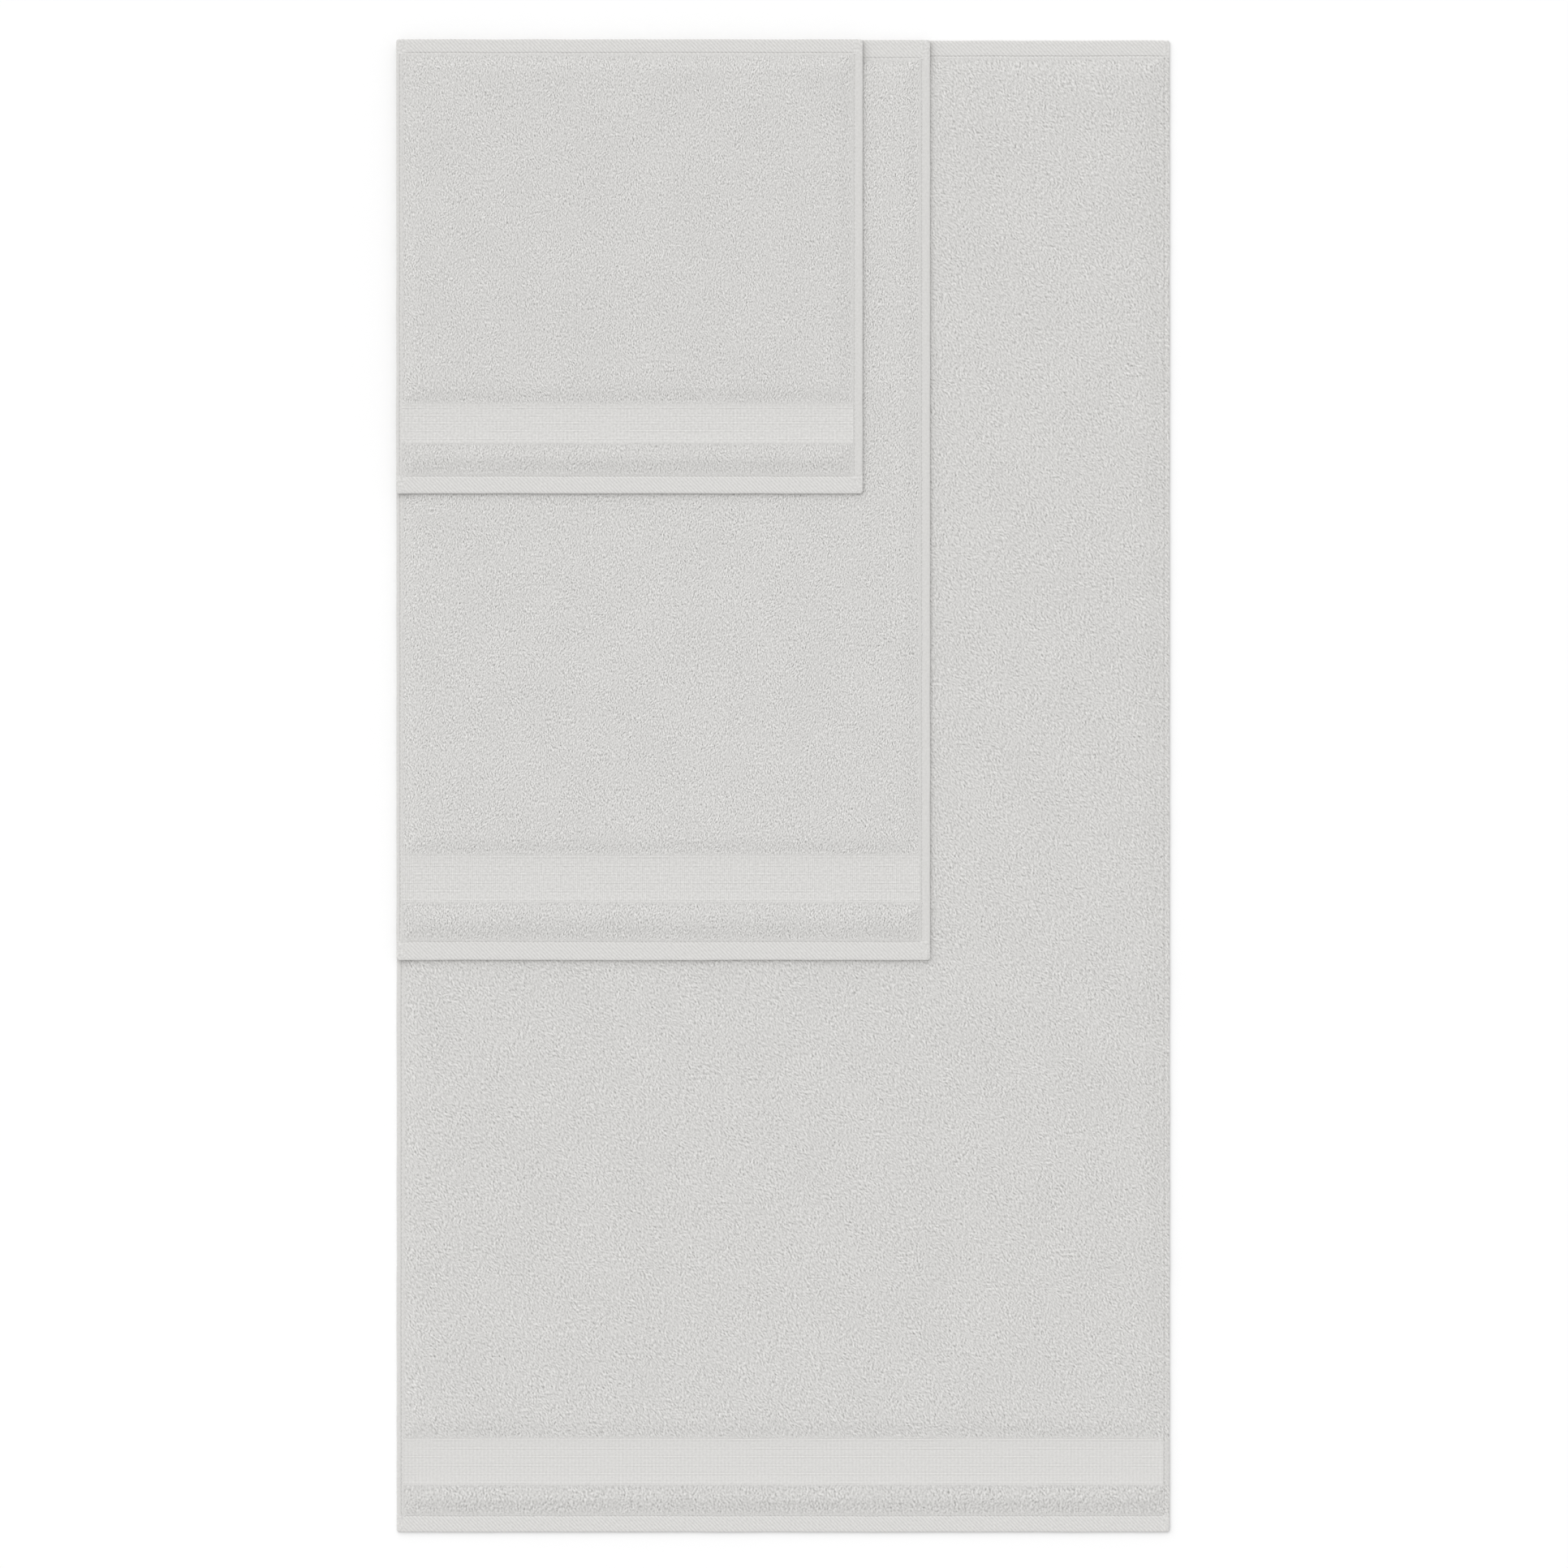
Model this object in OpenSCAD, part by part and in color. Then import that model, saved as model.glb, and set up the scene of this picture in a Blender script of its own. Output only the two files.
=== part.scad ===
// Bath towel set: a bath towel, a hand towel and a washcloth of terry cloth, laid flat
// on one another with their left edges and head hems in line. The origin is the middle
// of the bath towel's underside, +X is to the right, +Y to the head hems and +Z is up.

/* [Bath towel] */
// Width of the bath towel
bath_width = 700; // [560:1:1000]
// Length of the bath towel, from head hem to foot hem
bath_length = 1351; // [1110:1:1800]
// Depth of the bath towel's head hem
bath_head_hem = 16; // [10:0.5:24]
// Depth of the bath towel's foot hem
bath_foot_hem = 16; // [10:0.5:24]
// Width of the bath towel's left side hem
bath_left_hem = 6; // [4:0.5:15]
// Width of the bath towel's right side hem
bath_right_hem = 6; // [4:0.5:15]
// Depth of the bath towel's flat-woven dobby band
bath_dobby = 42; // [20:0.5:60]
// Depth of the pile strip between the bath towel's dobby band and foot hem
bath_strip = 27; // [15:0.5:40]

/* [Hand towel] */
// Width of the hand towel
hand_width = 483; // [400:1:560]
// Length of the hand towel, from head hem to foot hem
hand_length = 833; // [690:1:1000]
// Depth of the hand towel's head hem
hand_head_hem = 18; // [10:0.5:24]
// Depth of the hand towel's foot hem
hand_foot_hem = 18; // [10:0.5:24]
// Width of the hand towel's left side hem
hand_left_hem = 5; // [4:0.5:15]
// Width of the hand towel's right side hem
hand_right_hem = 9; // [4:0.5:15]
// Depth of the hand towel's flat-woven dobby band
hand_dobby = 42; // [20:0.5:60]
// Depth of the pile strip between the hand towel's dobby band and foot hem
hand_strip = 35; // [15:0.5:40]

/* [Washcloth] */
// Width of the washcloth
wash_width = 422; // [250:1:483]
// Length of the washcloth, from head hem to foot hem
wash_length = 411; // [300:1:550]
// Depth of the washcloth's head hem
wash_head_hem = 14; // [10:0.5:24]
// Depth of the washcloth's foot hem
wash_foot_hem = 17; // [10:0.5:24]
// Width of the washcloth's left side hem
wash_left_hem = 5; // [4:0.5:15]
// Width of the washcloth's right side hem
wash_right_hem = 9; // [4:0.5:15]
// Depth of the washcloth's flat-woven dobby band
wash_dobby = 35; // [20:0.5:60]
// Depth of the pile strip between the washcloth's dobby band and foot hem
wash_strip = 29; // [15:0.5:40]

/* [Cloth] */
// Thickness of the terry cloth, with its loops on both faces
pile_thickness = 4; // [3:0.1:6]
// Thickness of a hem, three layers of the ground cloth
hem_thickness = 2.6; // [2:0.1:2.8]
// Thickness of the flat-woven dobby band
dobby_thickness = 1.4; // [0.8:0.1:1.8]
// Width of a raised cord in a dobby band
cord_width = 1.4; // [0.8:0.1:2]
// Height of a raised cord above the band
cord_height = 0.3; // [0.1:0.1:0.5]
// Distance between cords
cord_pitch = 7.2; // [4:0.1:10]
// Radius of a towel's corners
corner_radius = 2.5; // [1:0.1:4]

/* [Seams] */
// Width of the sewing thread
thread_width = 0.5; // [0.3:0.1:1]
// Height of the sewing thread above the hem
thread_height = 0.3; // [0.1:0.05:0.5]
// Distance of a seam from its hem's inner edge
seam_inset = 1.5; // [1:0.1:2.5]
// Distance from a seam's end to the towel's edge
seam_end = 3; // [2:0.5:6]

/* [Stack and folds] */
// Clearance between two layers of terry that lie on one another
layer_clearance = 0.3; // [0.2:0.05:1]
// Gap between a towel and its foot flap at the fold line
fold_gap = 0.3; // [0.2:0.05:1]
// Distance that a folded foot flap stays short of the towel that lies above it
fold_margin = 8; // [4:1:30]

/* [Hidden] */
$fn = 48;
SMOOTH_COLOUR = "#d8d7d5";
PILE_COLOUR = "#d3d2d0";
THREAD_COLOUR = "#dedddb";

// A towel is a list of its name, length that the towel above covers, sizes and underside.
layer_rise = pile_thickness + layer_clearance;
TOWELS = [
    ["bath_towel", hand_length, bath_width, bath_length, bath_head_hem, bath_foot_hem,
        bath_left_hem, bath_right_hem, bath_dobby, bath_strip, 0],
    ["hand_towel", wash_length, hand_width, hand_length, hand_head_hem, hand_foot_hem,
        hand_left_hem, hand_right_hem, hand_dobby, hand_strip, layer_rise],
    ["washcloth", 0, wash_width, wash_length, wash_head_hem, wash_foot_hem,
        wash_left_hem, wash_right_hem, wash_dobby, wash_strip, 2 * layer_rise],
];
PIECES = [
    "head_hem", "terry_field", "left_side_hem", "right_side_hem", "head_hem_thread",
    "side_hem_threads", "foot_terry", "dobby_band", "foot_pile_strip", "foot_hem",
    "foot_left_side_hem", "foot_right_side_hem", "foot_hem_threads",
];

function name(towel) = towel[0];
function covered(towel) = towel[1];
function width(towel) = towel[2];
function long(towel) = towel[3];
function head_hem_depth(towel) = towel[4];
function foot_hem_depth(towel) = towel[5];
function left_hem_width(towel) = towel[6];
function right_hem_width(towel) = towel[7];
function dobby_depth(towel) = towel[8];
function strip_depth(towel) = towel[9];
function underside(towel) = towel[10];

// Edges of the towels and of their zones. Every towel starts at the bath towel's
// left edge and head edge, and the flap is half of what the towel above leaves bare.
left = -bath_width / 2;
head = bath_length / 2;
function right(towel) = left + width(towel);
function foot(towel) = head - long(towel);
function inner_left(towel) = left + left_hem_width(towel);
function inner_right(towel) = right(towel) - right_hem_width(towel);
function inner_head(towel) = head - head_hem_depth(towel);
function inner_foot(towel) = foot(towel) + foot_hem_depth(towel);
function dobby_foot(towel) = inner_foot(towel) + strip_depth(towel);
function dobby_head(towel) = dobby_foot(towel) + dobby_depth(towel);
function flap(towel) = (long(towel) - covered(towel) - fold_margin) / 2;
function fold(towel) = foot(towel) + flap(towel);
function body_end(towel) = fold(towel) + fold_gap / 2;
function flap_start(towel) = fold(towel) - fold_gap / 2;

// A flat piece of cloth between the side hems, from y_foot to y_head.
module panel(towel, y_foot, y_head, z, thickness) {
    translate([inner_left(towel), y_foot, underside(towel) + z])
        cube([inner_right(towel) - inner_left(towel), y_head - y_foot, thickness]);
}

// Outline of a whole towel, with its small round corners.
module outline(towel) {
    translate([left, foot(towel)]) {
        translate([corner_radius, 0])
            square([width(towel) - 2 * corner_radius, long(towel)]);
        translate([0, corner_radius])
            square([width(towel), long(towel) - 2 * corner_radius]);
        for (x = [corner_radius, width(towel) - corner_radius])
            for (y = [corner_radius, long(towel) - corner_radius])
                translate([x, y]) circle(corner_radius);
    }
}

// Section of a hem, with the round fold of its outer edge at x = 0.
module hem_section(depth) {
    fold_radius = hem_thickness / 2;
    translate([fold_radius, fold_radius]) circle(fold_radius);
    translate([fold_radius, 0]) square([depth - fold_radius, hem_thickness]);
}

// A hem across the whole width. The section's round edge is outward, along facing.
module end_hem(towel, edge, depth, facing) {
    color(SMOOTH_COLOUR)
        intersection() {
            translate([left, edge, underside(towel)])
                mirror([0, facing > 0 ? 1 : 0, 0])
                    rotate([90, 0, 90])
                        linear_extrude(width(towel)) hem_section(depth);
            translate([0, 0, underside(towel)])
                linear_extrude(hem_thickness) outline(towel);
        }
}

// A hem along one side, between y_foot and y_head. Its round edge faces outward.
module side_hem(towel, edge, depth, facing, y_foot, y_head) {
    color(SMOOTH_COLOUR)
        translate([edge, y_head, underside(towel)])
            mirror([facing > 0 ? 1 : 0, 0, 0])
                rotate([90, 0, 0])
                    linear_extrude(y_head - y_foot) hem_section(depth);
}

module left_side_hem(towel, y_foot, y_head) {
    side_hem(towel, left, left_hem_width(towel), -1, y_foot, y_head);
}

module right_side_hem(towel, y_foot, y_head) {
    side_hem(towel, right(towel), right_hem_width(towel), 1, y_foot, y_head);
}

// A line of sewing thread on a hem's upper face, from one corner of a rectangle on.
module seam(towel, corner, size) {
    color(THREAD_COLOUR)
        translate([corner.x, corner.y, underside(towel) + hem_thickness])
            cube([size.x, size.y, thread_height]);
}

// A seam along an end hem. y is its middle line.
module end_seam(towel, y) {
    seam(towel, [left + seam_end, y - thread_width / 2],
        [width(towel) - 2 * seam_end, thread_width]);
}

// The seams of both side hems, between y_foot and y_head.
module side_seams(towel, y_foot, y_head) {
    for (x = [inner_left(towel) - seam_inset, inner_right(towel) + seam_inset])
        seam(towel, [x - thread_width / 2, y_foot], [thread_width, y_head - y_foot]);
}

module terry(towel, y_foot, y_head) {
    color(PILE_COLOUR) panel(towel, y_foot, y_head, 0, pile_thickness);
}

// The flat-woven band, with raised cords across it at one pitch about its middle.
module dobby_band(towel) {
    z = (hem_thickness - dobby_thickness) / 2;
    cords = floor((dobby_depth(towel) - cord_width) / cord_pitch);
    middle = (dobby_head(towel) + dobby_foot(towel)) / 2;
    color(SMOOTH_COLOUR) {
        panel(towel, dobby_foot(towel), dobby_head(towel), z, dobby_thickness);
        for (i = [0 : cords]) {
            y = middle + (i - cords / 2) * cord_pitch;
            panel(towel, y - cord_width / 2, y + cord_width / 2,
                z + dobby_thickness / 2, dobby_thickness / 2 + cord_height);
        }
    }
}

module head_hem(towel) {
    end_hem(towel, head, head_hem_depth(towel), 1);
}

module foot_hem(towel) {
    end_hem(towel, foot(towel), foot_hem_depth(towel), -1);
}

module terry_field(towel) {
    terry(towel, body_end(towel), inner_head(towel));
}

module foot_terry(towel) {
    terry(towel, dobby_head(towel), flap_start(towel));
}

module foot_pile_strip(towel) {
    terry(towel, inner_foot(towel), dobby_foot(towel));
}

module head_hem_thread(towel) {
    end_seam(towel, inner_head(towel) + seam_inset);
}

module side_hem_threads(towel) {
    side_seams(towel, body_end(towel), inner_head(towel));
}

module foot_hem_threads(towel) {
    end_seam(towel, inner_foot(towel) - seam_inset);
    side_seams(towel, inner_foot(towel), flap_start(towel));
}

for (towel = TOWELS) {
    t = name(towel);
    head_hem(towel);
    terry_field(towel);
    left_side_hem(towel, body_end(towel), inner_head(towel));
    right_side_hem(towel, body_end(towel), inner_head(towel));
    head_hem_thread(towel);
    side_hem_threads(towel);
    foot_terry(towel);
    dobby_band(towel);
    foot_pile_strip(towel);
    foot_hem(towel);
    left_side_hem(towel, inner_foot(towel), flap_start(towel));
    right_side_hem(towel, inner_foot(towel), flap_start(towel));
    foot_hem_threads(towel);
}
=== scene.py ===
"""Bath towel set: a bath towel, a hand towel and a washcloth of cotton terry, each laid flat on
the one before."""
import math
import random

import bmesh
import bpy
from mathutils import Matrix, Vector, noise


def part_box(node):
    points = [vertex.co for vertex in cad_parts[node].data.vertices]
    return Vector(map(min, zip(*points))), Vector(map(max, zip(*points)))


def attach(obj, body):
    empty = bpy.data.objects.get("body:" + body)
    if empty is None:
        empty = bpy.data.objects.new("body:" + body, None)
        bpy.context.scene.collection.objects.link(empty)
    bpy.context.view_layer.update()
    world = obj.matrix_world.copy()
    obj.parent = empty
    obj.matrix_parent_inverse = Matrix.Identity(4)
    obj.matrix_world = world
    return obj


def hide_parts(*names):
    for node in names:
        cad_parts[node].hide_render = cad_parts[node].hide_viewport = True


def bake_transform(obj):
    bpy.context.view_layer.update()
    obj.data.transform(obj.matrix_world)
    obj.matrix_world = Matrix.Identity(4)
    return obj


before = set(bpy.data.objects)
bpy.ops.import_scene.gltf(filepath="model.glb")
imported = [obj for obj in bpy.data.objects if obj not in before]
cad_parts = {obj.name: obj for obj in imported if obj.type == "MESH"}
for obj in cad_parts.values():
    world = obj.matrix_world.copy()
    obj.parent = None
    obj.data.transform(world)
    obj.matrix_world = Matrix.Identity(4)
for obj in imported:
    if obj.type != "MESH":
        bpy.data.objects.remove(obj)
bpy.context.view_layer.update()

# ---------------------------------------------------------------------------------------------
# Camera, table and light. The set lies on a white table and is seen from straight above with a
# long lens. The light is soft and even, a little stronger from the head end and the left.
# ---------------------------------------------------------------------------------------------
CAMERA_HEIGHT = 5.0
SEEN_WIDTH = 1.4206
VIEW_CENTRE = Vector((0.0007, 0.0020, 0.0))

camera_data = bpy.data.cameras.new("camera")
camera_data.sensor_width = 36.0
camera_data.lens = camera_data.sensor_width * CAMERA_HEIGHT / SEEN_WIDTH
camera = bpy.data.objects.new("camera", camera_data)
camera.location = VIEW_CENTRE + Vector((0, 0, CAMERA_HEIGHT))
bpy.context.scene.collection.objects.link(camera)
bpy.context.scene.camera = camera
bpy.context.scene.view_settings.view_transform = "Standard"


def linear(colour):
    """An sRGB hex colour as linear red, green, blue and alpha."""
    parts = [int(colour[i : i + 2], 16) / 255 for i in (1, 3, 5)]
    return [p / 12.92 if p <= 0.04045 else ((p + 0.055) / 1.055) ** 2.4 for p in parts] + [1.0]


def add_node(tree, kind, values=None, links=None, **settings):
    """Adds a node, sets its properties and input values, and links its inputs to outputs."""
    made = tree.nodes.new(kind)
    for name, value in settings.items():
        setattr(made, name, value)
    for name, value in (values or {}).items():
        made.inputs[name].default_value = value
    for name, output in (links or {}).items():
        tree.links.new(output, made.inputs[name])
    return made


def new_material(name):
    """A material with an empty node tree."""
    made = bpy.data.materials.new(name)
    made.use_nodes = True
    made.node_tree.nodes.clear()
    return made


SHARP_ANGLE = math.radians(50)


def new_piece(name, bm, material):
    """The finished bmesh as an object of its own in its material, smooth but for sharp edges."""
    mesh = bpy.data.meshes.new(name)
    bm.to_mesh(mesh)
    bm.free()
    mesh.materials.append(material)
    mesh.shade_smooth()
    mesh.set_sharp_from_angle(angle=SHARP_ANGLE)
    made = bpy.data.objects.new(name, mesh)
    bpy.context.scene.collection.objects.link(made)
    return made


# White laminate, pressed matt over printed paper: it gives no reflections, only a faint mottle.
TABLE_SIZE = 14.0
TABLE_DROP = 0.0003  # keeps the table clear of the cloth's underside
laminate = new_material("white_laminate")
tree = laminate.node_tree
mottle = add_node(tree, "ShaderNodeTexNoise", {"Scale": 60.0, "Detail": 3.0})
white = add_node(
    tree,
    "ShaderNodeMix",
    {6: linear("#efefef"), 7: linear("#f1f1f1")},
    {"Factor": mottle.outputs["Fac"]},
    data_type="RGBA",
)
board = add_node(tree, "ShaderNodeBsdfDiffuse", links={"Color": white.outputs[2]})
add_node(tree, "ShaderNodeOutputMaterial", links={"Surface": board.outputs["BSDF"]})

bm = bmesh.new()
bmesh.ops.create_grid(bm, x_segments=1, y_segments=1, size=TABLE_SIZE / 2)
bmesh.ops.translate(bm, vec=(0, 0, -TABLE_DROP), verts=bm.verts)
new_piece("table", bm, laminate)

SKY_STRENGTH = 0.75
LIGHT_STRENGTH = 1.9
LIGHT_SPREAD = math.radians(85)
LIGHT_FROM = Vector((-0.55, 0.95, 1.0))

world = bpy.data.worlds.new("studio")
bpy.context.scene.world = world
world.use_nodes = True
world.node_tree.nodes["Background"].inputs["Color"].default_value = linear("#ffffff")
world.node_tree.nodes["Background"].inputs["Strength"].default_value = SKY_STRENGTH

soft_light = bpy.data.lights.new("soft_light", "SUN")
soft_light.energy = LIGHT_STRENGTH
soft_light.angle = LIGHT_SPREAD
light = bpy.data.objects.new("soft_light", soft_light)
light.rotation_mode = "QUATERNION"
light.rotation_quaternion = LIGHT_FROM.to_track_quat("Z", "Y")
bpy.context.scene.collection.objects.link(light)

# ---------------------------------------------------------------------------------------------
# Terry cloth of the three towels, from the head hem to the dobby band. It is one woven cloth
# whose pile warp stands in loops on both faces. The foot end folds over, and the cloth has
# extra rows of edges at the fold line.
# ---------------------------------------------------------------------------------------------
TOWELS = ("bath_towel", "hand_towel", "washcloth")
PILE_GRID = {"bath_towel": 0.0047, "hand_towel": 0.0032, "washcloth": 0.0030}
SLOPE_WIDTH = 0.016  # along its borders the pile sinks to the height of the cloth beside it
SLOPE_DEPTH = 0.0015
BORDER_WIDTH = 0.003
PILE_RELIEF = 0.00035  # how far the pile's surface rises and falls
CLUMP_SIZE = 0.011  # loops stand together in clumps about this wide
SWIRL_SIZE = 0.022  # and lean together in swirls about this wide
SWIRL_PUSH = 0.004
STROKE_SHARE = 0.45  # how much of the pattern is rows of loops, the rest being single ones
PRESSED_SIZE = 0.018  # patches in which the loops press together
PRESSED_SHADE = 0.64  # shade of loops without gaps, from 0, a gap, to 1, a crown
FADED_SIZE = 0.05  # patches a little lighter or darker than the next
FOLD_LENGTH = 0.008  # cloth that the bend takes up
FOLD_ROWS = 16


def cloth_slab(low, high, across, along, rows=(), columns=()):
    """A closed slab of cloth on an even grid, with extra rows of edges at some y and some x."""
    size = high - low
    middle = (low + high) / 2
    bm = bmesh.new()
    bmesh.ops.create_grid(
        bm,
        x_segments=max(1, round(size.x / across)),
        y_segments=max(1, round(size.y / along)),
        size=0.5,
    )
    bmesh.ops.scale(bm, vec=(size.x, size.y, 1), verts=bm.verts)
    bmesh.ops.translate(bm, vec=(middle.x, middle.y, high.z), verts=bm.verts)
    cuts = [((0, y, 0), (0, 1, 0)) for y in rows] + [((x, 0, 0), (1, 0, 0)) for x in columns]
    for point, direction in cuts:
        geometry = bm.verts[:] + bm.edges[:] + bm.faces[:]
        bmesh.ops.bisect_plane(bm, geom=geometry, plane_co=point, plane_no=direction)
    made = bmesh.ops.extrude_face_region(bm, geom=bm.faces[:])["geom"]
    lower = [v for v in made if isinstance(v, bmesh.types.BMVert)]
    bmesh.ops.translate(bm, vec=(0, 0, -size.z), verts=lower)
    bmesh.ops.recalc_face_normals(bm, faces=bm.faces)
    return bm


def round_rims(bm, radius, segments, among):
    """Rounds the sharp edges of a slab that among picks."""
    bmesh.ops.bevel(
        bm,
        geom=[e for e in bm.edges if e.calc_face_angle(0) > SHARP_ANGLE and among(e)],
        offset=radius,
        offset_type="OFFSET",
        segments=segments,
        profile=0.5,
        affect="EDGES",
        material=-1,
    )


UNDERSIDE = 2.0  # the underside shows another part of the same weave, this far along


def lay_weave_map(bm):
    """A UV map in metres, along the weft and the warp, so that a weave follows the cloth."""
    weave = bm.loops.layers.uv.new("weave")
    for face in bm.faces:
        steep = abs(face.normal.z) < 0.5
        under = UNDERSIDE if face.normal.z < -0.5 else 0.0
        for corner in face.loops:
            place = corner.vert.co
            rise = place.z if steep else 0.0
            corner[weave].uv = (place.x + rise + under, place.y + rise)


def fold_rows(y):
    """Rows of edges for a soft bend at y. The bend takes its cloth from the flap's side."""
    return [y - FOLD_LENGTH * i / FOLD_ROWS for i in range(FOLD_ROWS + 1)]


def fold_line(towel):
    """The y at which the towel's foot end folds."""
    return (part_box(f"{towel}_terry_field")[0].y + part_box(f"{towel}_foot_terry")[1].y) / 2


def bend_at_fold(piece):
    """Bakes the transform of a piece that crosses the fold line into its mesh."""
    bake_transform(piece)


def terry_pile(name, loop_width, loop_length, lean, gap_shade, lit_crown):
    """Looped cotton pile. Each loop shows as a short bright stroke beside a dark gap, leaning as
    its neighbours do: the dark gap is painted shade and the bright stroke a painted lit top,
    both drawn in the colour from the loops' height. The yarn's matt fibres leave no shine but a
    soft bloom at the rims.
    The loops' sizes are in metres, and lean is how far they slant for their length."""
    made = new_material(name)
    tree = made.node_tree
    weave = add_node(tree, "ShaderNodeUVMap", uv_map="weave")

    # Loops are pushed about in swirls a few centimetres wide, and lean by one amount overall.
    swirl = add_node(
        tree,
        "ShaderNodeTexNoise",
        {"Scale": 1 / SWIRL_SIZE, "Detail": 1.0},
        {"Vector": weave.outputs["UV"]},
        noise_dimensions="2D",
    )
    push = add_node(
        tree,
        "ShaderNodeVectorMath",
        {1: (-0.5, -0.5, 0)},
        {0: swirl.outputs["Color"]},
        operation="ADD",
    )
    swirled = add_node(
        tree,
        "ShaderNodeVectorMath",
        {1: (SWIRL_PUSH, SWIRL_PUSH, 0)},
        {0: push.outputs["Vector"], 2: weave.outputs["UV"]},
        operation="MULTIPLY_ADD",
    )
    parts = add_node(tree, "ShaderNodeSeparateXYZ", links={"Vector": swirled.outputs["Vector"]})
    leant = add_node(
        tree,
        "ShaderNodeMath",
        {1: lean},
        {0: parts.outputs["Y"], 2: parts.outputs["X"]},
        operation="MULTIPLY_ADD",
    )
    across = add_node(
        tree,
        "ShaderNodeMath",
        {1: 1 / loop_width},
        {0: leant.outputs["Value"]},
        operation="MULTIPLY",
    )
    along = add_node(
        tree,
        "ShaderNodeMath",
        {1: 1 / loop_length},
        {0: parts.outputs["Y"]},
        operation="MULTIPLY",
    )
    place = add_node(
        tree,
        "ShaderNodeCombineXYZ",
        links={"X": across.outputs["Value"], "Y": along.outputs["Value"]},
    )
    loops = add_node(
        tree,
        "ShaderNodeTexNoise",
        {"Scale": 1.0, "Detail": 0.6},
        {"Vector": place.outputs["Vector"]},
        noise_dimensions="2D",
    )
    tops = add_node(
        tree,
        "ShaderNodeMapRange",
        {"From Min": 0.17, "From Max": 0.8},
        {"Value": loops.outputs["Fac"]},
    )

    # Rows of loops that lean together show as strokes, which turn from place to place.
    heading = add_node(
        tree,
        "ShaderNodeMapRange",
        {"From Min": 0.3, "From Max": 0.7, "To Min": lean - 0.8, "To Max": lean + 0.8},
        {"Value": swirl.outputs["Fac"]},
    )
    rows = add_node(
        tree,
        "ShaderNodeTexGabor",
        {"Scale": 0.5 / loop_width, "Frequency": 1.0, "Anisotropy": 0.6},
        {"Vector": weave.outputs["UV"], "Orientation": heading.outputs["Result"]},
        gabor_type="2D",
    )
    strokes = add_node(
        tree,
        "ShaderNodeMapRange",
        {"From Min": 0.25, "From Max": 0.75},
        {"Value": rows.outputs["Value"]},
    )
    both = add_node(
        tree,
        "ShaderNodeMix",
        {"Factor": STROKE_SHARE},
        {2: tops.outputs["Result"], 3: strokes.outputs["Result"]},
        data_type="FLOAT",
    )
    height = add_node(
        tree, "ShaderNodeMath", {1: 0.7}, {0: both.outputs[0]}, operation="POWER"
    )

    # In clumps the loops press together, and at a border they fall flat, so that less of the
    # painted shade in the gaps between them shows.
    clumps = add_node(
        tree,
        "ShaderNodeTexNoise",
        {"Scale": 1 / PRESSED_SIZE, "Detail": 2.0},
        {"Vector": weave.outputs["UV"]},
        noise_dimensions="2D",
    )
    apart = add_node(
        tree,
        "ShaderNodeMapRange",
        {"From Min": 0.35, "From Max": 0.6, "To Min": 0.7, "To Max": 1.0},
        {"Value": clumps.outputs["Fac"]},
    )
    border = add_node(tree, "ShaderNodeAttribute", attribute_name="border")
    spread = add_node(
        tree,
        "ShaderNodeMath",
        {1: -0.7, 2: 1.0},
        {0: border.outputs["Fac"]},
        operation="MULTIPLY_ADD",
    )
    stand = add_node(
        tree,
        "ShaderNodeMath",
        links={0: apart.outputs["Result"], 1: spread.outputs["Value"]},
        operation="MULTIPLY",
    )
    tufted = add_node(
        tree,
        "ShaderNodeMix",
        {2: PRESSED_SHADE},
        {"Factor": stand.outputs["Value"], 3: height.outputs["Value"]},
        data_type="FLOAT",
    )
    # The colour is painted shade where the loops are low, in their gaps, and painted light on their
    # tops.
    colour = add_node(
        tree,
        "ShaderNodeMix",
        {6: linear(gap_shade), 7: linear(lit_crown)},
        {"Factor": tufted.outputs[0]},
        data_type="RGBA",
    )
    patches = add_node(
        tree,
        "ShaderNodeTexNoise",
        {"Scale": 1 / FADED_SIZE, "Detail": 2.0},
        {"Vector": weave.outputs["UV"]},
        noise_dimensions="2D",
    )
    shade = add_node(
        tree,
        "ShaderNodeMapRange",
        {"From Min": 0.3, "From Max": 0.7, "To Min": 0.99, "To Max": 1.01},
        {"Value": patches.outputs["Fac"]},
    )
    shaded = add_node(
        tree,
        "ShaderNodeVectorMath",
        links={0: colour.outputs[2], "Scale": shade.outputs["Result"]},
        operation="SCALE",
    )
    bump = add_node(
        tree,
        "ShaderNodeBump",
        {"Strength": 0.4, "Distance": 0.0006},
        {"Height": tops.outputs["Result"]},
    )
    cotton = add_node(
        tree,
        "ShaderNodeBsdfPrincipled",
        {"Roughness": 0.95, "Sheen Weight": 0.1, "Sheen Roughness": 0.6, "Specular IOR Level": 0.2},
        {"Base Color": shaded.outputs["Vector"], "Normal": bump.outputs["Normal"]},
    )
    add_node(tree, "ShaderNodeOutputMaterial", links={"Surface": cotton.outputs["BSDF"]})
    return made


# Cotton terry, woven with a slack pile warp and then washed, so that its loops stand up and lean.
# Long loops fall over and show as long slanting strokes, short ones as small upright ones.
# The darker colour of each is painted shade in the gaps between loops, the lighter painted light
# on their tops.
PILES = {
    "bath_towel": terry_pile("cotton_terry_long_loops", 0.0015, 0.0023, 0.45, "#868583", "#e2e1df"),
    "hand_towel": terry_pile("cotton_terry_upright_loops", 0.0011, 0.0021, -0.1, "#6a6967", "#eae9e7"),
    "washcloth": terry_pile("cotton_terry_short_loops", 0.0011, 0.0021, 0.05, "#737270", "#e7e6e4"),
}


def sinking(inside):
    """How far the pile has begun to sink, from 0 to 1 at its border, this far inside it."""
    near = min(max(1 - inside / SLOPE_WIDTH, 0), 1)
    return near * near * (3 - 2 * near)


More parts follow.
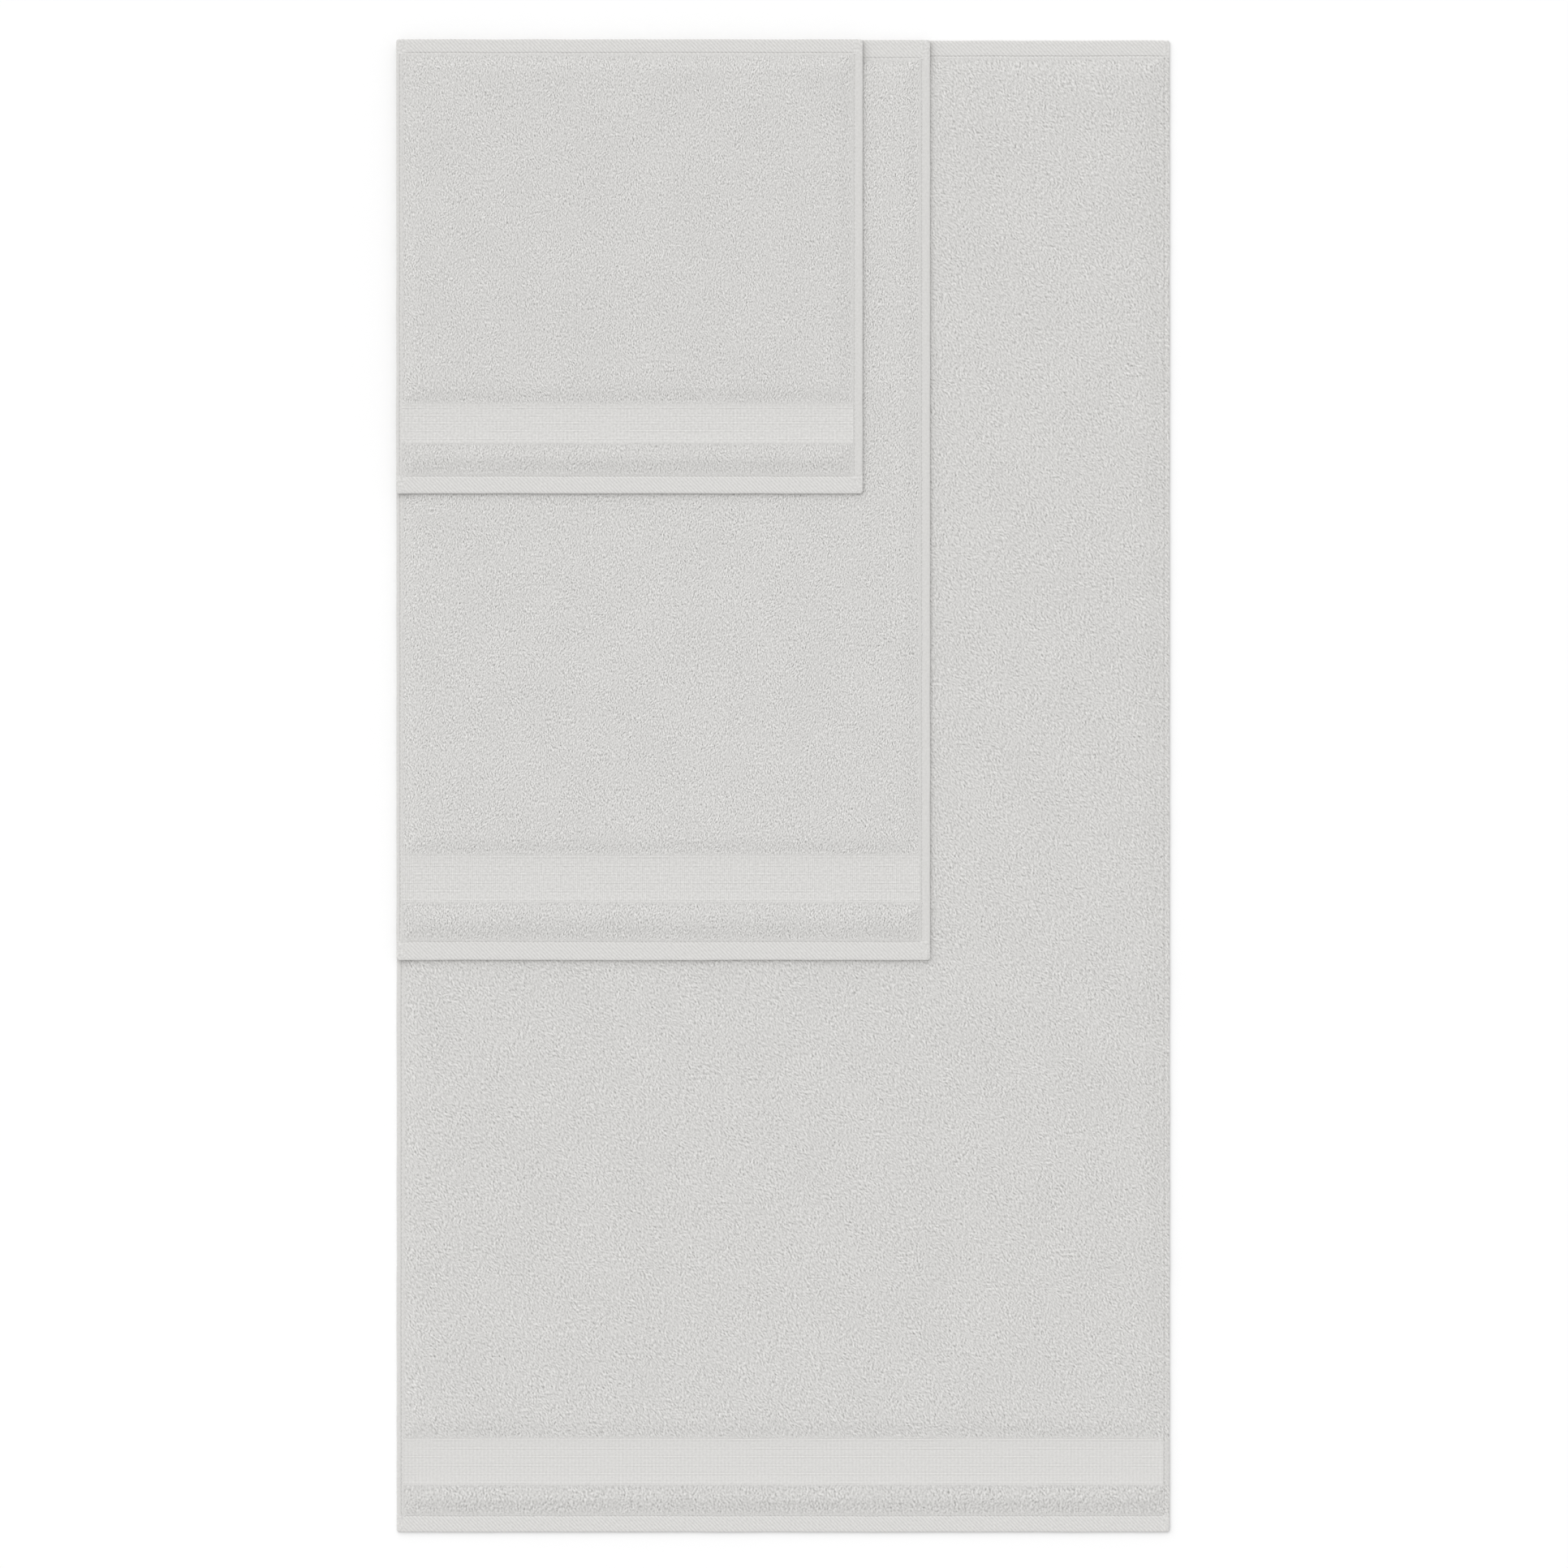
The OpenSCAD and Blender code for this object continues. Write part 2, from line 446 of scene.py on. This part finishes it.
def pile_slab(low, high, grid, run_on, rows=()):
    """A slab of pile that slopes down at its borders, with its surface ruffled in clumps. The
    attribute "border" is 1 at the border and 0 where the loops stand up. run_on is how far the
    loops run on past the slab's right side."""
    steps = (BORDER_WIDTH, SLOPE_WIDTH * 0.35, SLOPE_WIDTH * 0.6)  # edges that carry the slope
    rows = [*rows, *(low.y + d for d in steps), *(high.y - d for d in steps)]
    columns = [low.x + d for d in steps] + [high.x - d for d in steps]
    bm = cloth_slab(low, high, grid, grid, rows, columns)
    middle = (low.z + high.z) / 2
    border = bm.verts.layers.float.new("border")
    for v in bm.verts:
        side = 1 if v.co.z > middle else -1
        other = min(v.co.x - low.x, v.co.y - low.y, high.y - v.co.y)
        v[border] = max(0, 1 - min(other, high.x + run_on - v.co.x) / BORDER_WIDTH)
        sunk = sinking(min(other, high.x - v.co.x))
        clump = noise.noise(Vector((v.co.x, v.co.y, side)) / CLUMP_SIZE)
        v.co.z -= side * PILE_RELIEF * (0.5 - 0.5 * clump) * (1 - sunk)
        if side > 0:
            v.co.z -= SLOPE_DEPTH * sunk
    return bm


RUN_ON = {"bath_towel": 0.006, "hand_towel": 0.0, "washcloth": 0.0}

terry = {}
for towel in TOWELS:
    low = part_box(f"{towel}_foot_terry")[0]
    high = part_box(f"{towel}_terry_field")[1]
    grid = PILE_GRID[towel]
    bm = pile_slab(low, high, grid, RUN_ON[towel], fold_rows(fold_line(towel)))
    lay_weave_map(bm)
    terry[towel] = new_piece(f"{towel}_terry_cloth", bm, PILES[towel])
    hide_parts(f"{towel}_terry_field", f"{towel}_foot_terry")
    bend_at_fold(terry[towel])

# ---------------------------------------------------------------------------------------------
# Pile strips between the dobby band and the foot hem: the same terry, fluffier at its edges
# because the flat cloth on both sides lets its loops spread.
# ---------------------------------------------------------------------------------------------
STRIP_GRID = 0.0028
# The same washed terry, with painted shade in its gaps and painted light on its loop tops. In a
# narrow strip its loops are looser, so the gaps between them are wider.
STRIP_PILES = {
    "bath_towel": terry_pile("cotton_terry_loose_border", 0.0017, 0.0022, 0.1, "#82817f", "#dfdedc"),
    "hand_towel": terry_pile("cotton_terry_upright_border", 0.0012, 0.0020, -0.1, "#71706e", "#e6e5e3"),
    "washcloth": terry_pile("cotton_terry_short_border", 0.0012, 0.0020, 0.05, "#7b7a78", "#e2e1df"),
}

strips = {}
for towel in TOWELS:
    low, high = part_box(f"{towel}_foot_pile_strip")
    bm = pile_slab(low, high, STRIP_GRID, RUN_ON[towel])
    lay_weave_map(bm)
    strips[towel] = new_piece(f"{towel}_pile_strip", bm, STRIP_PILES[towel])
    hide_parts(f"{towel}_foot_pile_strip")
    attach(strips[towel], f"{towel}_foot")

# ---------------------------------------------------------------------------------------------
# Dobby bands: the flat border where the pile warp is woven in. Fine ribs run along the towel,
# and thick weft cords cross it at one pitch, each between two narrow grooves.
# ---------------------------------------------------------------------------------------------
BAND_THICKNESS = 0.0014
BAND_LIFT = 0.0005  # the pile on both sides holds the band's edges up
LIFT_WIDTH = 0.012
CORD_PITCH = {"bath_towel": 0.0077, "hand_towel": 0.0077, "washcloth": 0.0070}
CORD_WIDTH = 0.00125
CORD_HEIGHT = 0.00016
GROOVE_DEPTH = 0.00018
BAND_GRID = 0.005
SLUB_SIZE = 0.002


def flat_weave(name, groove_shade_and_slubs, raised, rib_pitch, turn, ribs, relief):
    """Flat woven cotton with ribs at one pitch. turn is the ribs' angle to the warp, ribs is how
    far they outweigh the yarn's slubs, and relief is how deep both are. The darker colour is
    painted shade in the grooves between the ribs and the darker tone of the slubs, the lighter
    one the raised yarn. Where the cloth's attribute "plain" is 1, a plain layer lies over the ribs."""
    made = new_material(name)
    tree = made.node_tree
    weave = add_node(tree, "ShaderNodeUVMap", uv_map="weave")
    turned = add_node(
        tree,
        "ShaderNodeVectorRotate",
        {"Angle": turn},
        {"Vector": weave.outputs["UV"]},
        rotation_type="Z_AXIS",
    )
    rib = add_node(
        tree,
        "ShaderNodeTexWave",
        {"Scale": math.tau / 20 / rib_pitch, "Distortion": 0.6, "Detail": 1.0, "Detail Scale": 0.3},
        {"Vector": turned.outputs["Vector"]},
        wave_type="BANDS",
        bands_direction="X",
        wave_profile="SIN",
    )
    uneven = add_node(
        tree,
        "ShaderNodeTexNoise",
        {"Scale": 1 / SLUB_SIZE, "Detail": 2.0},
        {"Vector": weave.outputs["UV"]},
        noise_dimensions="2D",
    )
    slubs = add_node(
        tree,
        "ShaderNodeMapRange",
        {"From Min": 0.25, "From Max": 0.75},
        {"Value": uneven.outputs["Fac"]},
    )
    plain = add_node(tree, "ShaderNodeAttribute", attribute_name="plain")
    smooth = add_node(
        tree, "ShaderNodeMath", {1: 1 - ribs}, {0: plain.outputs["Fac"]}, operation="MAXIMUM"
    )
    yarn = add_node(
        tree,
        "ShaderNodeMix",
        links={
            "Factor": smooth.outputs["Value"],
            2: rib.outputs["Fac"],
            3: slubs.outputs["Result"],
        },
        data_type="FLOAT",
    )
    # Colour follows the yarn's height: painted shade in the grooves between ribs, and the slubs' own
    # uneven tone.
    colour = add_node(
        tree,
        "ShaderNodeMix",
        {6: linear(groove_shade_and_slubs), 7: linear(raised)},
        {"Factor": yarn.outputs[0]},
        data_type="RGBA",
    )
    bump = add_node(
        tree,
        "ShaderNodeBump",
        {"Strength": relief, "Distance": 0.0003},
        {"Height": yarn.outputs[0]},
    )
    cotton = add_node(
        tree,
        "ShaderNodeBsdfPrincipled",
        {"Roughness": 0.85, "Sheen Weight": 0.05, "Sheen Roughness": 0.5, "Specular IOR Level": 0.25},
        {"Base Color": colour.outputs[2], "Normal": bump.outputs["Normal"]},
    )
    add_node(tree, "ShaderNodeOutputMaterial", links={"Surface": cotton.outputs["BSDF"]})
    return made


# Bleached cotton, woven flat on a dobby loom. Its ribs show as faint lines along the towel, 1.9 to
# 3.3 mm apart, drawn as painted shade between them, and its slubby yarn breaks them up.
DOBBY_CLOTHS = {
    "bath_towel": flat_weave("cotton_dobby_wide_ribs", "#c5c4c2", "#d2d1cf", 0.0033, 0.0, 0.35, 0.3),
    "hand_towel": flat_weave("cotton_dobby_fine_ribs", "#bcbbb9", "#d8d7d5", 0.0019, 0.0, 0.35, 0.4),
    "washcloth": flat_weave("cotton_dobby_soft_ribs", "#c1c0be", "#d5d4d2", 0.0032, 0.0, 0.2, 0.35),
}


def raise_cords(bm, low, high, pitch):
    """Lifts the band's edges and presses the cords and their grooves into its upper face. Each
    cord is slack in its own places."""
    count = math.floor((high.y - low.y - CORD_WIDTH) / pitch)
    middle = (low.y + high.y) / 2
    for v in bm.verts:
        if v.co.z < low.z + BAND_THICKNESS / 2:
            continue
        edge = min(v.co.x - low.x, high.x - v.co.x, v.co.y - low.y, high.y - v.co.y)
        v.co.z += BAND_LIFT * max(0, 1 - edge / LIFT_WIDTH) ** 2
        nearest = round((v.co.y - middle) / pitch + count / 2)
        centre = middle + (min(max(nearest, 0), count) - count / 2) * pitch
        off = abs(v.co.y - centre) / CORD_WIDTH
        slack = 0.7 + noise.noise(Vector((v.co.x / 0.03, nearest * 3.7, low.y * 10)))
        if off < 0.5:
            v.co.z += CORD_HEIGHT * min(slack, 1) * math.cos(math.pi * off) ** 2
        elif off < 1.5:
            v.co.z -= GROOVE_DEPTH * slack * math.sin(math.pi * (off - 0.5)) ** 2


bands = {}
for towel in TOWELS:
    low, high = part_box(f"{towel}_dobby_band")
    top = Vector((high.x, high.y, low.z + BAND_THICKNESS))
    bm = cloth_slab(low, top, BAND_GRID, CORD_WIDTH / 4)
    raise_cords(bm, low, high, CORD_PITCH[towel])
    lay_weave_map(bm)
    bands[towel] = new_piece(f"{towel}_dobby_cloth", bm, DOBBY_CLOTHS[towel])
    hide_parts(f"{towel}_dobby_band")
    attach(bands[towel], f"{towel}_foot")

# ---------------------------------------------------------------------------------------------
# End hems: the towel's twill-woven end, folded under twice so that the outer edge is a round
# fold three layers thick. The side hems' plain cloth covers its corners, and the seam along its
# inner edge draws the cloth in, so that the hem is never quite straight.
# ---------------------------------------------------------------------------------------------
HEM_FOLD = 0.0009
HEM_UNDER = 0.0003  # the fold is pressed flatter where it rests on the cloth below
HEM_PRESS = 0.0003  # how far a hem sinks into the pile it lies on
HEM_GRID = 0.0027
HEM_CORNER = 0.0024
TWILL_PITCH = 0.0025  # 3.5 mm apart along the hem, as the lines lean by 45 degrees
SEAM_INSET = 0.0015  # from the hem's inner edge to its seam
SEAM_DIP = 0.0007
SEAM_WIDTH = 0.0007
INNER_DIP = 0.0001  # the inner edge is held down by the seam
PUCKER = 0.00012
WANDER = 0.0003
CLOSE = 1e-5

# Cotton twill, woven in one with the towel and pressed flat in sewing. It shows as fine diagonal
# stripes of painted shade in its grooves, matt and a little lighter than the pile.
twill_cloth = flat_weave(
    "cotton_twill_hem", "#bebdbb", "#d7d6d4", TWILL_PITCH, math.radians(-45), 0.55, 0.35
)


def lies_at(edge, axis, place):
    """Whether the whole edge lies at one place along an axis."""
    return all(abs(v.co[axis] - place) < CLOSE for v in edge.verts)


def upright(edge):
    return abs(edge.verts[0].co.z - edge.verts[1].co.z) > CLOSE


def round_fold(bm, low, high, outline):
    """Rounds the upper and lower edges of a hem's fold, where outline picks them."""
    for radius, z in ((HEM_FOLD, high.z), (HEM_UNDER, low.z)):
        round_rims(bm, radius, 3, lambda e: lies_at(e, 2, z) and outline(e))


def sew_down(bm, low, high, axis, inner, seam, corner):
    """Dips a hem's upper face along its seam, but for its corners, puckers it, and lets its
    outer edge wander in its own way."""
    other = 1 - axis
    for v in bm.verts:
        inside = abs(v.co[axis] - inner)
        end = min(v.co[other] - low[other], high[other] - v.co[other])
        if v.co.z > (low.z + high.z) / 2:
            v.co.z -= PUCKER * (0.6 - noise.noise(v.co / 0.006))
            near = max(0, 1 - abs(v.co[axis] - seam) / SEAM_WIDTH)
            held = max(0, 1 - inside / (2 * SEAM_INSET))
            if end >= corner - CLOSE:
                v.co.z -= SEAM_DIP * near + INNER_DIP * held
        drift = noise.noise(Vector((v.co[other] / 0.03, low.x * 50, low.y * 50)))
        v.co[axis] += WANDER * drift * min(inside / (2 * SEAM_INSET), 1)


end_hems = {}
for towel in TOWELS:
    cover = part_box(f"{towel}_right_side_hem")
    for end, body in (("head_hem", towel), ("foot_hem", f"{towel}_foot")):
        low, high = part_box(f"{towel}_{end}")
        low.z -= min(low.z, HEM_PRESS)
        inner = low.y if end == "head_hem" else high.y
        outer = low.y + high.y - inner
        seam = inner + math.copysign(SEAM_INSET, outer - inner)
        rows = (seam - SEAM_WIDTH, seam, seam + SEAM_WIDTH)
        bm = cloth_slab(low, high, HEM_GRID, HEM_GRID, rows)
        covered = cover[1].x - cover[0].x
        plain = bm.verts.layers.float.new("plain")
        for v in bm.verts:
            edge = min(v.co.x - low.x, high.x - v.co.x)
            v[plain] = 1.0 if edge < covered else 0.0
        round_rims(bm, HEM_CORNER, 4, lambda e: upright(e) and lies_at(e, 1, outer))
        round_fold(bm, low, high, lambda e: not lies_at(e, 1, inner))
        sew_down(bm, low, high, 1, inner, seam, covered)
        lay_weave_map(bm)
        hem = new_piece(f"{towel}_{end}_cloth", bm, twill_cloth)
        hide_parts(f"{towel}_{end}")
        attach(hem, body)
        end_hems[towel, end] = hem

# ---------------------------------------------------------------------------------------------
# Side hems: the plain selvedge, folded under twice and sewn down along its inner edge. They run
# the whole way from the head hem to the foot hem, with extra rows of edges at the fold.
# ---------------------------------------------------------------------------------------------
SIDE_GRID = 0.0024
# Plain-woven cotton selvedge, beaten dense, so that it shows as a smooth matt border. Its ribs,
# 0.4 mm apart, are drawn 0.9 mm apart so that they show, with painted shade between them.
selvedge_cloth = flat_weave("cotton_plain_selvedge", "#c2c1bf", "#d1d0ce", 0.0009, 0.0, 0.3, 0.3)

side_hems = {}
for towel in TOWELS:
    for side, outward in (("left_side_hem", -1), ("right_side_hem", 1)):
        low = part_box(f"{towel}_foot_{side}")[0]
        low.z -= min(low.z, HEM_PRESS)
        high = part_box(f"{towel}_{side}")[1]
        inner = high.x if outward < 0 else low.x
        seam = inner + outward * SEAM_INSET
        columns = (seam - SEAM_WIDTH, seam, seam + SEAM_WIDTH)
        bm = cloth_slab(low, high, SIDE_GRID, SIDE_GRID, fold_rows(fold_line(towel)), columns)
        outer = low.x + high.x - inner
        round_fold(bm, low, high, lambda e: lies_at(e, 0, outer))
        sew_down(bm, low, high, 0, inner, seam, 0.0)
        cloth = selvedge_cloth
        if outward > 0 and RUN_ON[towel] > 0:
            # This hem is turned from the terry itself, so its loops run on to the edge, but for
            # the part beside the dobby band.
            cloth = PILES[towel]
            band_low, band_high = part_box(f"{towel}_dobby_band")
            border = bm.verts.layers.float.new("border")
            for v in bm.verts:
                v[border] = 1.0 if band_low.y < v.co.y < band_high.y else 0.0
        lay_weave_map(bm)
        hem = new_piece(f"{towel}_{side}_cloth", bm, cloth)
        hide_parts(f"{towel}_{side}", f"{towel}_foot_{side}")
        bend_at_fold(hem)
        side_hems[towel, side] = hem

# ---------------------------------------------------------------------------------------------
# Seams: lockstitch in white cotton thread along the inner edge of every hem. Each stitch shows
# as a short bead that dips into the cloth at both ends.
# ---------------------------------------------------------------------------------------------
STITCH = Vector((0.0028, 0.0008, 0.0008))
STITCH_PITCH = 0.0039
STITCH_ASKEW = 0.08  # radians
STITCH_LENGTHS = (0.85, 1.1)


def repeat_shape(name, shape, places, material):
    """One piece made of the shape at every place. A place is a point, turns about x, y and z,
    and a size."""
    bm = bmesh.new()
    turn = bm.verts.layers.float_vector.new("turn")
    size = bm.verts.layers.float_vector.new("size")
    for point, angles, scale in places:
        v = bm.verts.new(point)
        v[turn] = angles
        v[size] = scale
    made = new_piece(name, bm, material)
    group = bpy.data.node_groups.new("repeats", "GeometryNodeTree")
    for way in ("INPUT", "OUTPUT"):
        group.interface.new_socket("Geometry", in_out=way, socket_type="NodeSocketGeometry")
    points = add_node(group, "NodeGroupInput")
    named = "GeometryNodeInputNamedAttribute"
    turns = add_node(group, named, {"Name": "turn"}, data_type="FLOAT_VECTOR")
    sizes = add_node(group, named, {"Name": "size"}, data_type="FLOAT_VECTOR")
    one = add_node(group, "GeometryNodeObjectInfo", {"Object": shape})
    placed = add_node(
        group,
        "GeometryNodeInstanceOnPoints",
        links={
            "Points": points.outputs[0],
            "Instance": one.outputs["Geometry"],
            "Rotation": turns.outputs["Attribute"],
            "Scale": sizes.outputs["Attribute"],
        },
    )
    whole = add_node(
        group, "GeometryNodeRealizeInstances", links={"Geometry": placed.outputs["Instances"]}
    )
    add_node(group, "NodeGroupOutput", links={"Geometry": whole.outputs["Geometry"]})
    made.modifiers.new("repeats", "NODES").node_group = group
    ready = made.evaluated_get(bpy.context.evaluated_depsgraph_get())
    mesh = bpy.data.meshes.new_from_object(ready)
    made.modifiers.clear()
    made.data = mesh
    mesh.materials.clear()
    mesh.materials.append(material)
    for spare in ("turn", "size"):
        if spare in mesh.attributes:
            mesh.attributes.remove(mesh.attributes[spare])
    bpy.data.node_groups.remove(group)
    return made


def plain_yarn(name, dark, light, patch):
    """Spun cotton seen as single threads, each a little lighter or darker than the next."""
    made = new_material(name)
    tree = made.node_tree
    place = add_node(tree, "ShaderNodeTexCoord")
    lengths = add_node(
        tree,
        "ShaderNodeTexNoise",
        {"Scale": 1 / patch, "Detail": 2.0},
        {"Vector": place.outputs["Object"]},
    )
    colour = add_node(
        tree,
        "ShaderNodeMix",
        {6: linear(dark), 7: linear(light)},
        {"Factor": lengths.outputs["Fac"]},
        data_type="RGBA",
    )
    cotton = add_node(
        tree,
        "ShaderNodeBsdfPrincipled",
        {"Roughness": 0.8, "Sheen Weight": 0.1, "Sheen Roughness": 0.5, "Specular IOR Level": 0.3},
        {"Base Color": colour.outputs[2]},
    )
    add_node(tree, "ShaderNodeOutputMaterial", links={"Surface": cotton.outputs["BSDF"]})
    return made


# Cotton sewing thread, twisted hard: each stitch is a small pale bead with no gloss.
sewing_cotton = plain_yarn("cotton_sewing_thread", "#cdcccb", "#e2e1df", 0.003)

bm = bmesh.new()
bmesh.ops.create_icosphere(bm, subdivisions=1, radius=0.5)
bmesh.ops.scale(bm, vec=STITCH, verts=bm.verts)
stitch = new_piece("one_stitch", bm, sewing_cotton)
random.seed(3)


def seam_places(start, end):
    """Stitches from one point to the other, each a little askew."""
    run = end - start
    heading = math.atan2(run.y, run.x)
    count = round(run.length / STITCH_PITCH)
    places = []
    for i in range(count):
        angle = heading + random.uniform(-STITCH_ASKEW, STITCH_ASKEW)
        long = random.uniform(*STITCH_LENGTHS)
        places.append((start + run * (i + 0.5) / count, (0, 0, angle), (long, 1, 1)))
    return places


seams = {}
for towel in TOWELS:
    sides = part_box(f"{towel}_side_hem_threads")
    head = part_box(f"{towel}_head_hem_thread")
    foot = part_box(f"{towel}_foot_hem_threads")
    z = head[0].z - PUCKER * 0.6 - SEAM_DIP
    head_y = (head[0].y + head[1].y) / 2
    half = head_y - head[0].y
    foot_y = foot[0].y + half
    left = sides[0].x + half
    right = sides[1].x - half
    top_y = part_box(f"{towel}_head_hem")[1].y - SEAM_INSET
    end_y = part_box(f"{towel}_foot_hem")[0].y + SEAM_INSET
    side_places = seam_places(Vector((left, end_y, z)), Vector((left, top_y, z)))
    side_places += seam_places(Vector((right, end_y, z)), Vector((right, top_y, z)))
    head_places = seam_places(Vector((head[0].x, head_y, z)), Vector((head[1].x, head_y, z)))
    foot_places = seam_places(Vector((foot[0].x, foot_y, z)), Vector((foot[1].x, foot_y, z)))
    side_seam = repeat_shape(f"{towel}_side_seams", stitch, side_places, sewing_cotton)
    head_seam = repeat_shape(f"{towel}_head_seam", stitch, head_places, sewing_cotton)
    foot_seam = repeat_shape(f"{towel}_foot_seam", stitch, foot_places, sewing_cotton)
    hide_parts(f"{towel}_side_hem_threads")
    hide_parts(f"{towel}_head_hem_thread")
    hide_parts(f"{towel}_foot_hem_threads")
    bend_at_fold(side_seam)
    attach(head_seam, towel)
    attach(foot_seam, f"{towel}_foot")
    seams[towel] = [side_seam, head_seam, foot_seam]
bpy.data.objects.remove(stitch)

# ---------------------------------------------------------------------------------------------
# Loops at the pile's borders: where the terry meets a hem or the dobby band, nothing holds its
# outer loops up, so they flop over the flat cloth and blur the line between the two.
# ---------------------------------------------------------------------------------------------
LOOP_WIDTH = 0.0015
LOOP_HEIGHT = 0.0015
LOOP_YARN = 0.0005
LOOP_SPACING = 0.0016
LOOP_ROWS = (0.0004, 0.0016, 0.0030)  # from the border inwards
LOOP_STRAY = (-0.0005, 0.0008)  # how far a loop stands off its row
LOOP_SINK = (0.0002, 0.0005)  # how deep its feet stand in the pile
LOOP_TILTS = (80, 95)  # degrees from upright
LOOP_TURN = 0.6  # radians
LOOP_HEIGHTS = (0.5, 1.0)
LOOP_WIDTHS = (0.7, 1.2)

# Pile yarn, cotton spun soft and washed, so that a single loop is matt and its shade uneven.
loop_yarn = plain_yarn("cotton_pile_yarn", "#b8b7b5", "#e2e1df", 0.002)

bm = bmesh.new()
bmesh.ops.create_circle(bm, segments=3, radius=LOOP_YARN / 2)
bmesh.ops.translate(bm, vec=(LOOP_WIDTH / 2, 0, 0), verts=bm.verts)
bmesh.ops.spin(
    bm,
    geom=bm.verts[:] + bm.edges[:],
    cent=(0, 0, 0),
    axis=(0, 1, 0),
    angle=-math.pi,
    steps=4,
    use_merge=False,
)
bmesh.ops.holes_fill(bm, edges=[e for e in bm.edges if e.is_boundary], sides=3)
bmesh.ops.scale(bm, vec=(1, 1, 2 * LOOP_HEIGHT / LOOP_WIDTH), verts=bm.verts)
bmesh.ops.recalc_face_normals(bm, faces=bm.faces)
loop = new_piece("one_loop", bm, loop_yarn)


def border_places(low, high):
    """Loops in rows along the four sides of a pile, leaning outwards over the cloth beside it."""
    size = high - low
    sides = (
        (Vector((low.x, low.y, 0)), Vector((1, 0, 0)), size.x, Vector((0, -1, 0))),
        (Vector((low.x, high.y, 0)), Vector((1, 0, 0)), size.x, Vector((0, 1, 0))),
        (Vector((low.x, low.y, 0)), Vector((0, 1, 0)), size.y, Vector((-1, 0, 0))),
        (Vector((high.x, low.y, 0)), Vector((0, 1, 0)), size.y, Vector((1, 0, 0))),
    )
    places = []
    for start, along, length, outward in sides:
        heading = math.atan2(-outward.x, outward.y)
        for row in LOOP_ROWS:
            for i in range(round(length / LOOP_SPACING)):
                step = (i + random.uniform(0.1, 0.9)) * LOOP_SPACING
                inside = row + random.uniform(*LOOP_STRAY)
                point = start + along * step - outward * inside
                point.z = high.z - SLOPE_DEPTH * sinking(inside) - random.uniform(*LOOP_SINK)
                tilt = -math.radians(random.uniform(*LOOP_TILTS))
                turn = heading + random.gauss(0, LOOP_TURN)
                tall = random.uniform(*LOOP_HEIGHTS)
                wide = random.uniform(*LOOP_WIDTHS)
                places.append((point, (tilt, 0, turn), (wide, 1, tall)))
    return places


borders = {}
for towel in TOWELS:
    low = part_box(f"{towel}_foot_terry")[0]
    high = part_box(f"{towel}_terry_field")[1]
    field = repeat_shape(f"{towel}_terry_border", loop, border_places(low, high), loop_yarn)
    low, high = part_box(f"{towel}_foot_pile_strip")
    strip = repeat_shape(f"{towel}_strip_border", loop, border_places(low, high), loop_yarn)
    bend_at_fold(field)
    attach(strip, f"{towel}_foot")
    borders[towel] = [field, strip]
bpy.data.objects.remove(loop)

for towel in TOWELS:
    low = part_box(f"{towel}_foot_hem")[0]
    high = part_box(f"{towel}_head_hem")[1]
    pieces = [strips[towel], bands[towel], *seams[towel], *borders[towel]]
    pieces += [end_hems[towel, end] for end in ("head_hem", "foot_hem")]
    pieces += [side_hems[towel, side] for side in ("left_side_hem", "right_side_hem")]
